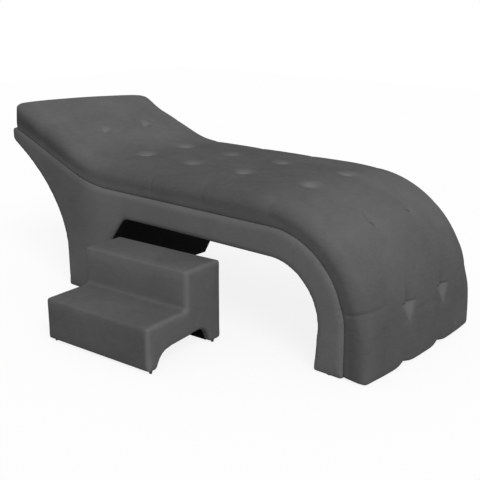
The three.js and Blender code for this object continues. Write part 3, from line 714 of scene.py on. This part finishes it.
def make_side_pad(side, y_face, inward):
    """The thin foam between the velvet and the board, with its outer rim shaved round."""
    y_pad = y_face + inward * pad_inset
    piece = trace_outline(f"side_foam_{side}", at_y(side_outline, y_pad), True)
    bpy.ops.object.mode_set(mode="EDIT")
    bpy.ops.mesh.select_mode(type="FACE")
    bpy.ops.mesh.select_all(action="SELECT")
    bpy.ops.mesh.inset(thickness=pad_inset)
    bpy.ops.mesh.select_all(action="INVERT")
    bpy.ops.mesh.delete(type="FACE")
    bpy.ops.object.mode_set(mode="OBJECT")
    pull(piece, (0, inward * pad_thickness, 0))
    bpy.ops.object.mode_set(mode="EDIT")
    pick(piece, "EDGE", lambda edge: all(abs(vertex.co.y - y_pad) < 1e-5 for vertex in edge.verts))
    bpy.ops.mesh.bevel(offset=0.0085, segments=3, affect="EDGES", clamp_overlap=False)
    bpy.ops.object.mode_set(mode="OBJECT")
    smooth_faces(piece, 50)
    dress(piece, foam, "bed", "foam", f"side_pad_{side}")


# Head end upholstery: round the back of the head leg, with a flap under the cushion
def make_head_upholstery():
    flap = np.column_stack(crease_at(np.array([head_flap_length, 0.02]))[:2])
    line = np.vstack([flap, head_line])
    piece = trace_outline("head_end_upholstery", at_y(line, centre_y - inner_half), False)
    pull(piece, (0, 2 * inner_half, 0))
    apply_modifier(piece, "SOLIDIFY", thickness=skin_thickness, offset=-1, use_even_offset=True)
    smooth_faces(piece, 50)
    dress(piece, velvet, "bed", "velvet", "head_end_cover")
    return piece


# Black cloth under the bed, stretched from toe to toe; its near-black colour also stands in for the deep shade there
def make_underside_cloth():
    tangent = np.gradient(under_line, axis=0)
    tangent = tangent / np.linalg.norm(tangent, axis=1)[:, None]
    line = under_line + cloth_lift * np.column_stack([tangent[:, 1], -tangent[:, 0]])
    line = line[(line[:, 1] > bed_glide_height - 0.001)]
    half = bed_width / 2 - cloth_margin
    piece = trace_outline("underside_cloth", at_y(line, centre_y - half), False)
    pull(piece, (0, 2 * half, 0))
    apply_modifier(piece, "SOLIDIFY", thickness=cloth_thickness, offset=0, use_even_offset=True)
    smooth_faces(piece, 50)
    dress(piece, black_lining_and_shade, "bed", "black_cloth", "underside_lining")
    return piece


make_side_upholstery()
make_side_pad("near", near_face, 1)
make_side_pad("far", far_high.y, -1)
make_head_upholstery()
make_underside_cloth()


# Cushion: a finely divided block, rounded, crowned, tufted and laid along the crease line
def divided_block(name, cuts):
    """A unit cube with its edges cut evenly in each direction, in one or two rounds."""
    piece = start_object(bpy.ops.mesh.primitive_cube_add, name, size=1, location=(0, 0, 0))
    bpy.ops.object.mode_set(mode="EDIT")
    for axis, rounds in enumerate(cuts):
        def runs_along(edge, axis=axis):
            step = edge.verts[1].co - edge.verts[0].co
            return abs(step[axis]) > 0.9 * step.length
        for count in rounds:
            pick(piece, "EDGE", runs_along)
            bpy.ops.mesh.subdivide(number_cuts=count, smoothness=0)
    bpy.ops.object.mode_set(mode="OBJECT")
    return piece


def rounded_pair(first, second, radius):
    """Turns the square corner of two distances from edges into a quarter circle."""
    one = np.maximum(radius - first, 0)
    two = np.maximum(radius - second, 0)
    square = np.maximum(one, two)
    reach = np.hypot(one, two)
    share = np.where(reach > 1e-9, square / np.maximum(reach, 1e-9), 1)
    both = (one > 0) & (two > 0)
    return (
        np.where(both, radius - one * share, first),
        np.where(both, radius - two * share, second),
    )


def side_radius_at(place, from_head):
    below = smooth_step(place, tuft_rows[-1] - 0.01, tuft_rows[-1] + 0.07)
    wide = cushion_side_radius + (cushion_hem_radius - cushion_side_radius) * below
    return wide * (0.30 + 0.70 * smooth_step(from_head, 0.0, 0.20))


def tuft_bowl(reach, distance):
    """Depth of the well round a tuft: a steep rounded well with a pinch at its bottom, in a broad hollow."""
    well = 0.5 + 0.5 * np.cos(math.pi * np.clip(reach, 0, 1))
    pinch = np.clip(1 - distance / 0.018, 0, 1) ** 1.5
    outer = np.exp(-((distance / 0.085) ** 2))
    return tuft_well_depth * (0.90 * well + 0.10 * outer) + 0.002 * pinch


def crowded(share, low, high, places, width):
    """Spreads even shares between two ends so that they lie closer together round the places given."""
    fine = np.linspace(low, high, 2001)
    gaps = (fine[:, None] - np.array(places)) / width
    weight = 1 + tuft_crowding * np.exp(-gaps ** 2).sum(1)
    total = np.concatenate([[0], np.cumsum((weight[1:] + weight[:-1]) / 2)])
    return np.interp(share, total / total[-1], fine)


def cushion_shape(block, depth):
    """Places the points of the divided block on the cushion, a given depth under its skin."""
    along, across, up = (block + 0.5).T
    start = cushion_head_setback + depth
    end = cushion_end - depth
    half = bed_width / 2 - cushion_side_setback - depth
    thickness = cushion_thickness - depth
    place = crowded(along, start, end, tuft_rows, tuft_crowd_width)
    columns = [-tuft_column_offset, tuft_column_offset]
    from_centre = crowded(across, -half, half, columns, tuft_crowd_width)
    side = np.where(from_centre < 0, -1.0, 1.0)
    from_side = half - np.abs(from_centre)
    from_head = place - start
    from_foot = end - place
    skew = head_end_skew * (side * (half - from_side) + 0.15)
    from_top = thickness * (1 - up)
    radius = side_radius_at(place, from_head) - depth
    from_side, from_top = rounded_pair(from_side, from_top, radius)
    from_head, from_top = rounded_pair(from_head, from_top, cushion_head_radius - depth)
    from_head, from_side = rounded_pair(from_head, from_side, head_corner_radius)
    from_foot, from_top = rounded_pair(from_foot, from_top, 0.016)
    from_foot, from_side = rounded_pair(from_foot, from_side, 0.012)
    at_foot = along > 0.5
    place = np.where(at_foot, end - from_foot, start + from_head)
    place = place + skew * (1 - smooth_step(place, 0.0, 0.25))
    height = thickness - from_top
    share_up = np.clip(height / thickness, 0, 1)
    sideways = side * (half - from_side)

    # Crown, drawn-in base and bulging wall
    over = np.abs(sideways / half)
    over_round = smooth_step(place, round_start - 0.15, round_start + 0.17)
    over_round = over_round * (1 - 0.65 * smooth_step(place, round_start + 0.34, cushion_end - 0.06))
    edge_sag = cushion_edge_sag + round_sag * over_round
    height = height + (cushion_crown * (1 - over ** 2) - edge_sag * over ** 3 - 0.3 * round_sag * over_round) * share_up
    wall = cushion_bulge * np.sin(math.pi * np.clip(height / 0.078, 0, 1))
    base_pull = cushion_draw_in * (1 - np.clip(height / 0.020, 0, 1)) ** 2
    wall = wall - base_pull * smooth_step(place, 0.02, 0.10)
    if depth > 0:
        wall = np.minimum(wall, 0)
    near_side = np.exp(-(np.maximum(from_side, 0) / 0.020) ** 2)
    near_head = np.exp(-(np.maximum(from_head, 0) / 0.014) ** 2)

    # Pulls from the tufts across to the side, and the soft bulges between them
    rows = np.array(tuft_rows)
    off_row = np.abs(place[:, None] - rows)
    pull_in = np.exp(-off_row / 0.030).sum(1)
    pleat = sum(amount * np.exp(-(off_row[:, row] / 0.0050) ** 2) for row, amount in pleat_rows.items())
    last_row = tuft_rows[-1]
    nearer = 0.65 - 0.35 * side
    last_crease = nearer * np.exp(-((place - last_row + 0.018) / 0.0060) ** 2)
    over_last = np.exp(-((place - last_row + 0.062) / 0.030) ** 2)
    to_edge = np.clip((np.abs(sideways) - tuft_column_offset) / (half - tuft_column_offset), 0, 1)
    wall = wall - 0.0025 * pull_in * smooth_step(height, 0.0, 0.05)
    wall = wall - 0.0022 * pleat * smooth_step(height, 0.030, 0.060)
    wall = wall - row_crease * last_crease * smooth_step(height, 0.0, 0.03)
    wall = wall + 0.0025 * over_last
    sideways = sideways + side * wall * near_side
    place = place - 0.6 * wall * near_head

    # Tufts and the folds that lead away from them
    top_only = smooth_step(share_up, 0.5, 0.9)
    for number, (row, (lengthwise, crosswise)) in enumerate(zip(tuft_rows, tuft_spreads)):
        for column in (-tuft_column_offset, tuft_column_offset):
            ahead = place - row
            aside = sideways - column
            distance = np.hypot(ahead, aside)
            reach_round = np.hypot(ahead / lengthwise, aside / crosswise)
            height = height - tuft_row_depths[number] * tuft_bowl(reach_round, distance) * top_only
            if number in (0, 5, 6):
                fold = np.exp(-(aside / 0.0055) ** 2) * smooth_step(-ahead, -0.010, 0.012)
                fold = fold * (1 - smooth_step(-ahead, 0.020, 0.060))
                height = height - fold_depth * fold * top_only
            if number == 6:
                left_over = np.clip(1 - ahead / wedge_length, 0, 1)
                inside = smooth_step(wedge_half * left_over - np.abs(aside), -0.003, 0.006)
                height = height - wedge_depth * left_over * inside * smooth_step(ahead, -0.008, 0.000) * top_only
    pull_fold = pull_in * smooth_step(to_edge, 0.0, 0.5) * smooth_step(share_up, 0.3, 0.8)
    height = height - 0.0016 * pull_fold - 0.0012 * pleat * smooth_step(to_edge, 0.35, 0.75) * top_only
    height = height - row_crease * last_crease * smooth_step(to_edge, 0.40, 0.75) * smooth_step(share_up, 0.2, 0.8)
    height = height + 0.0020 * over_last * smooth_step(to_edge, 0.1, 0.6) * top_only

    # Hem: pinched in line with the two columns of tufts, full between them
    hem = smooth_step(place, last_row + 0.020, end)
    off_column = np.minimum(np.abs(sideways + tuft_column_offset + 0.018), np.abs(sideways - tuft_column_offset + 0.016))
    pinch = 0.75 * np.exp(-(off_column / 0.034) ** 2) + 0.25 * np.exp(-(off_column / 0.009) ** 2)
    height = height + (0.003 - hem_pinch * pinch) * hem * top_only
    place = place + (0.004 - 0.009 * pinch) * hem * smooth_step(share_up, 0.2, 0.8)

    # The lowest edge is pressed onto the rim of the side covers
    on_rim = np.exp(-(np.maximum(from_side, 0) / 0.012) ** 2) * (1 - smooth_step(share_up, 0.0, 0.25))
    height = height - rim_overlap * on_rim * (depth == 0)

    lean_start = tuft_rows[0] - 0.032
    lean = np.clip((lean_start - place) / (lean_start - cushion_head_setback), 0, 1)
    x, z = off_crease(place - height * math.tan(head_slope) * lean, height)
    return np.column_stack([x, centre_y + sideways, z]), place, sideways, height


def well_bottom(number):
    """How far under the crown a row of tufts ties the cover down."""
    extra = {0: fold_depth / 2, 5: fold_depth / 2, 6: wedge_depth}.get(number, 0.0)
    return tuft_row_depths[number] * tuft_well_depth + 0.002 + extra


def tuft_points():
    """The bottoms of the wells, where the cover is tied down."""
    half = bed_width / 2 - cushion_side_setback
    seat = cushion_thickness + cushion_crown * (1 - (tuft_column_offset / half) ** 2)
    points = []
    for number, row in enumerate(tuft_rows):
        x, z = off_crease(row, seat - well_bottom(number))
        points += [(float(x), centre_y + column, float(z)) for column in (-tuft_column_offset, tuft_column_offset)]
    return points


def cushion_painted_shading(place, sideways, height):
    """The painted light and shade on the cushion: lighter on the head part and the round, darker on the flat, and
    painted shade on the side walls down towards the crease, with a lighter band at their very base. Painted highlights
    lie on the walls of the tuft wells, where the cover is pulled into the tufts, and on the wedge under the last row."""
    stops = [0.0, 0.42, 0.66, 0.90, 1.40, 1.60, 1.72, 1.80, 1.92, 2.15]
    top_shading = [0.20, 0.18, -0.08, -0.14, -0.08, 0.17, 0.26, 0.10, -0.06, 0.0]
    on_top = np.interp(place, stops, top_shading)
    on_wall = np.interp(place, [0.0, 0.35, 0.5, 0.8, 1.4, 1.9], [-0.55, -0.40, -0.20, -0.12, -0.16, -0.24])
    head_part = 1 - smooth_step(place, 0.20, 0.50)
    to_wall = 1 - smooth_step(height - 0.025 * head_part, 0.020, 0.095)
    outer = smooth_step(np.abs(sideways) + 0.025 * head_part, bed_width / 2 - 0.050, bed_width / 2 - 0.015)
    wall_share = to_wall * outer * (0.55 + 0.45 * smooth_step(height, 0.0, 0.035))
    painted_shading = on_top * (1 - wall_share) + on_wall * wall_share
    painted_shading = painted_shading + 0.12 * (1 - smooth_step(height, 0.010, 0.040)) * outer
    on_top = smooth_step(height, 0.040, 0.060)
    # Painted highlights on the walls of the tuft wells and on the wedge under the last row
    for number, (row, (lengthwise, crosswise)) in enumerate(zip(tuft_rows, tuft_spreads)):
        for column in (-tuft_column_offset, tuft_column_offset):
            ahead = place - row
            aside = sideways - column
            reach = np.hypot(ahead / lengthwise, aside / crosswise)
            well_highlight = (1 - smooth_step(reach, 0.20, 1.10)) * on_top
            if number == 0:
                well_highlight = well_highlight * (1 - smooth_step(ahead, -0.010, 0.006))
            painted_shading = painted_shading + well_painted_highlights[number] * well_highlight
            if number == 6:
                left_over = np.clip(1 - ahead / wedge_length, 0, 1)
                inside = smooth_step(wedge_half * left_over - np.abs(aside), 0.0, 0.008)
                lower = smooth_step(ahead, -0.004, 0.001) * (1 - 0.6 * smooth_step(ahead, 0.010, wedge_length))
                painted_shading = painted_shading + wedge_painted_highlight * inside * lower * on_top
    return painted_shading


def make_cushion():
    piece = divided_block("bed_cushion", ((20, 15), (12, 7), (13,)))
    points, place, sideways, height = cushion_shape(read_points(piece), 0.0)
    write_points(piece, points)
    # Painted light and shade on the cushion cover, kept per vertex
    paint_shading(piece, cushion_painted_shading(place, sideways, height))
    held = 1 - smooth_step(height, 0.002, 0.020)
    for tuft in tuft_points():
        gap = np.linalg.norm(points - np.array(tuft), axis=1)
        held = np.maximum(held, 1 - smooth_step(gap, 0.040, 0.075))
    inflate(piece, held, cushion_swell, 3.0, 8.0)
    apply_modifier(piece, "SUBSURF", levels=1, render_levels=1)
    smooth_faces(piece, 80)
    dress(piece, velvet, "bed", "velvet", "cushion_cover")
    return piece


def make_foam_core():
    piece = divided_block("cushion_foam_core", ((9, 12), (48,), (7,)))
    write_points(piece, cushion_shape(read_points(piece), 0.0055)[0])
    smooth_faces(piece, 80)
    dress(piece, foam, "bed", "foam", "cushion_foam")
    return piece


make_cushion()
make_foam_core()


# Covered buttons, each with its twine and the washer under the deck
def make_tuft_tie():
    button = start_object(
        bpy.ops.mesh.primitive_uv_sphere_add, "tuft_tie", segments=24, ring_count=12, radius=button_radius
    )
    button.scale = (1, 1, 0.52)
    drop_place(button)
    washer_depth = cushion_thickness - tuft_depth + 0.0095
    twine = start_object(
        bpy.ops.mesh.primitive_cylinder_add, "tuft_twine", vertices=12, radius=0.0015, depth=washer_depth - 0.012,
        location=(0, 0, -washer_depth / 2 - 0.006),
    )
    washer = start_object(
        bpy.ops.mesh.primitive_cylinder_add, "tuft_washer", vertices=32, radius=0.012, depth=0.003,
        location=(0, 0, -washer_depth),
    )
    bpy.ops.object.mode_set(mode="EDIT")
    bpy.ops.mesh.select_all(action="SELECT")
    bpy.ops.mesh.bevel(offset=0.0007, segments=2, affect="EDGES")
    bpy.ops.object.mode_set(mode="OBJECT")
    bpy.ops.object.select_all(action="DESELECT")
    for part in (washer, twine, button):
        part.select_set(True)
    bpy.context.view_layer.objects.active = button
    bpy.ops.object.join()
    drop_place(button)
    smooth_faces(button, 45)
    return button


def tie_tufts():
    first = make_tuft_tie()
    for index, row in enumerate(tuft_rows):
        for side, column in (("near", -tuft_column_offset), ("far", tuft_column_offset)):
            tie = first.copy()
            tie.data = first.data.copy()
            bpy.context.scene.collection.objects.link(tie)
            tie.name = f"tuft_button_{side}_{index + 1}"
            points = read_points(tie)
            points[points[:, 2] > -0.007, 2] += tuft_depth - 0.001 - well_bottom(index) - button_cover
            write_points(tie, points)
            half = bed_width / 2 - cushion_side_setback
            seat = cushion_thickness + cushion_crown * (1 - (column / half) ** 2) - tuft_depth
            x, z = off_crease(row, seat + 0.001)
            heading = crease_at(row)[2]
            tie.matrix_world = (
                Matrix.Translation((float(x), centre_y + column, float(z))) @ Matrix.Rotation(-float(heading), 4, "Y")
            )
            drop_place(tie)
            dress(tie, button_velvet, "bed", "tuft_button", f"tuft_tie_{side}_{index + 1}")
    bpy.data.objects.remove(first)


tie_tufts()


# Stool: its own frame has x along its depth and y across its width
stool_joint = frame["joints"][0]
depth_way = Vector(stool_joint["axis"]).normalized()
stool_turn = math.atan2(depth_way.y, depth_way.x)
right_low, right_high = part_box("stool_glide_front_right")
right_glide = (right_low + right_high) / 2
width_way = Vector((-depth_way.y, depth_way.x, 0))
stool_corner = right_glide - depth_way * (stool_front_foot / 2) - width_way * 0.0128
stool_place = Matrix.Translation((stool_corner.x, stool_corner.y, 0)) @ Matrix.Rotation(stool_turn, 4, "Z")


def stand_stool_piece(piece):
    piece.matrix_world = stool_place @ piece.matrix_world
    drop_place(piece)


def stool_outline():
    arch_end = stool_depth - stool_back_foot
    front = bend(
        (stool_front_foot, stool_foot),
        (stool_front_foot + arch_front_reach * arch_pull_share, arch_front_height),
        (stool_front_foot + arch_front_reach, arch_front_height),
        12,
    )
    back = bend(
        (arch_end - arch_back_reach, arch_back_height),
        (arch_end - arch_back_reach * arch_pull_share, arch_back_height),
        (arch_end, stool_foot),
        12,
    )
    body = [
        (stool_depth + stool_swell, stool_foot),
        (stool_depth + stool_swell, stool_upper_height + stool_swell),
        (stool_lower_depth - stool_swell, stool_upper_height + stool_swell),
        (stool_lower_depth - stool_swell, stool_lower_height + stool_swell),
        (-stool_swell, stool_lower_height + stool_swell),
        (-stool_swell, stool_foot),
    ]
    return front, back, body


def gap_to_line(points, line):
    """Distance of each point from a line of side-view corners."""
    line = np.array(line, float)
    gap = np.full(len(points), 1.0)
    for start, end in zip(line, line[1:]):
        share = np.clip(((points[:, [0, 2]] - start) @ (end - start)) / ((end - start) @ (end - start)), 0, 1)
        nearest = start + share[:, None] * (end - start)
        gap = np.minimum(gap, np.linalg.norm(points[:, [0, 2]] - nearest, axis=1))
    return gap


def make_stool_upholstery():
    front, back, body = stool_outline()
    outline = np.vstack([front, back, body])
    piece = trace_outline("stool_upholstery", at_y(outline, -stool_swell), True)
    pull(piece, (0, stool_width + 2 * stool_swell, 0))
    soften(piece, 0.0070, 8)
    points = read_points(piece)
    low = 1 - smooth_step(points[:, 2], 0.018, 0.045)
    corner_gap = np.hypot(points[:, 0] - stool_lower_depth, points[:, 2] - stool_lower_height)
    corner = 1 - smooth_step(corner_gap, 0.006, 0.020)
    arch_line = np.vstack([front, back])
    arch = 1 - smooth_step(gap_to_line(points, arch_line), 0.006, 0.022)
    inflate(piece, np.maximum(np.maximum(low, corner), arch), stool_filling, 2.0, 6.0)
    select_only(piece)
    bpy.ops.object.mode_set(mode="EDIT")

    def is_open(face):
        middle = face.calc_center_median()
        sole = face.normal.z < -0.8 and middle.z < stool_foot + 0.004
        gap = np.hypot(arch_line[:, 0] - middle.x, arch_line[:, 1] - middle.z).min()
        deep = 0.022 < middle.y < stool_width - 0.022
        return sole or (deep and gap < 0.012 and abs(face.normal.y) < 0.5)
    pick(piece, "FACE", is_open)
    bpy.ops.mesh.delete(type="FACE")
    bpy.ops.object.mode_set(mode="OBJECT")
    apply_modifier(piece, "SUBSURF", levels=1, render_levels=1)
    apply_modifier(piece, "SOLIDIFY", thickness=skin_thickness, offset=-1)
    smooth_faces(piece, 60)
    points = read_points(piece)
    # Painted light on the stool cover: lighter on the right side and the riser, darker on the top and the lower front,
    # with painted highlights along the step noses and round the right side's edges
    right_side = 1 - smooth_step(points[:, 1], 0.004, 0.016)
    riser = smooth_step(points[:, 2], stool_lower_height, stool_lower_height + 0.02)
    front = 1 - smooth_step(points[:, 0], 0.010, 0.030)
    noses = np.minimum(
        np.hypot(points[:, 0], points[:, 2] - stool_lower_height),
        np.hypot(points[:, 0] - stool_lower_depth, points[:, 2] - stool_upper_height),
    )
    nose_highlight = 1 - smooth_step(noses, 0.004, 0.044)
    rim_highlight = (1 - smooth_step(points[:, 1], 0.004, 0.024)) * (1 - smooth_step(gap_to_line(points, body), 0.004, 0.022))
    top = smooth_step(points[:, 2], stool_upper_height - 0.012, stool_upper_height)
    painted_shading = 0.24 * right_side + (0.20 * riser - 0.16 * top - 0.12 * front) * (1 - right_side)
    paint_shading(piece, painted_shading + 0.14 * nose_highlight * (1 - right_side) + 0.16 * rim_highlight)
    stand_stool_piece(piece)
    dress(piece, velvet, "step_stool", "velvet", "stool_cover")
    return piece


# Black cloth inside the stool; its near-black colour also stands in for the deep shade seen through the arch
def make_stool_lining():
    inside = 0.0176
    front_x = inside + 2 * seam_gap
    back_x = stool_depth - stool_back_foot + 0.002
    upper_z = stool_upper_height - 0.0329
    lower_z = stool_lower_height - 0.0329
    riser_x = stool_lower_depth + inside + 2 * seam_gap
    line = np.array([
        (back_x, stool_foot), (back_x, upper_z), (riser_x, upper_z), (riser_x, lower_z),
        (front_x, lower_z), (front_x, stool_foot),
    ])
    board_inner = 0.0209
    piece = trace_outline("stool_inside_cloth", at_y(line, board_inner), False)
    pull(piece, (0, stool_width - 2 * board_inner, 0))
    apply_modifier(piece, "SOLIDIFY", thickness=cloth_thickness, offset=0)
    smooth_faces(piece, 50)
    stand_stool_piece(piece)
    dress(piece, black_lining_and_shade, "step_stool", "black_cloth", "stool_lining")
    return piece


make_stool_upholstery()
make_stool_lining()


# Glides: turned plastic feet with eased rims
def make_glide(name, node, body, top_radius, foot_radius_here):
    low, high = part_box(node)
    middle = (low + high) / 2
    height = high.z - low.z
    piece = start_object(
        bpy.ops.mesh.primitive_cone_add, name, vertices=32, radius1=foot_radius_here, radius2=top_radius,
        depth=height, location=middle,
    )
    drop_place(piece)
    bpy.ops.object.mode_set(mode="EDIT")
    pick(piece, "EDGE", lambda edge: all(abs(v.co.z - edge.verts[0].co.z) < 1e-6 for v in edge.verts))
    bpy.ops.mesh.bevel(offset=min(0.0008, height / 4), segments=3, affect="EDGES")
    bpy.ops.object.mode_set(mode="OBJECT")
    smooth_faces(piece, 40)
    dress(piece, glide_plastic, body, "black_plastic", node)


for leg in ("head", "foot"):
    for side in ("near", "far"):
        make_glide(f"bed_foot_glide_{leg}_{side}", f"bed_glide_{leg}_{side}", "bed", 0.011, 0.0105)
for end in ("front", "back"):
    for side in ("right", "left"):
        make_glide(f"stool_foot_glide_{end}_{side}", f"stool_glide_{end}_{side}", "step_stool", 0.007, 0.005)


# Boards, rails and pads that keep their own shape
def finish_boards():
    for name, node in frame["nodes"].items():
        if node.hide_render:
            continue
        if "pad" in name:
            material = foam
        elif "rail" in name:
            material = pine
        else:
            material = plywood
        node.data.materials.clear()
        node.data.materials.append(material)


finish_boards()
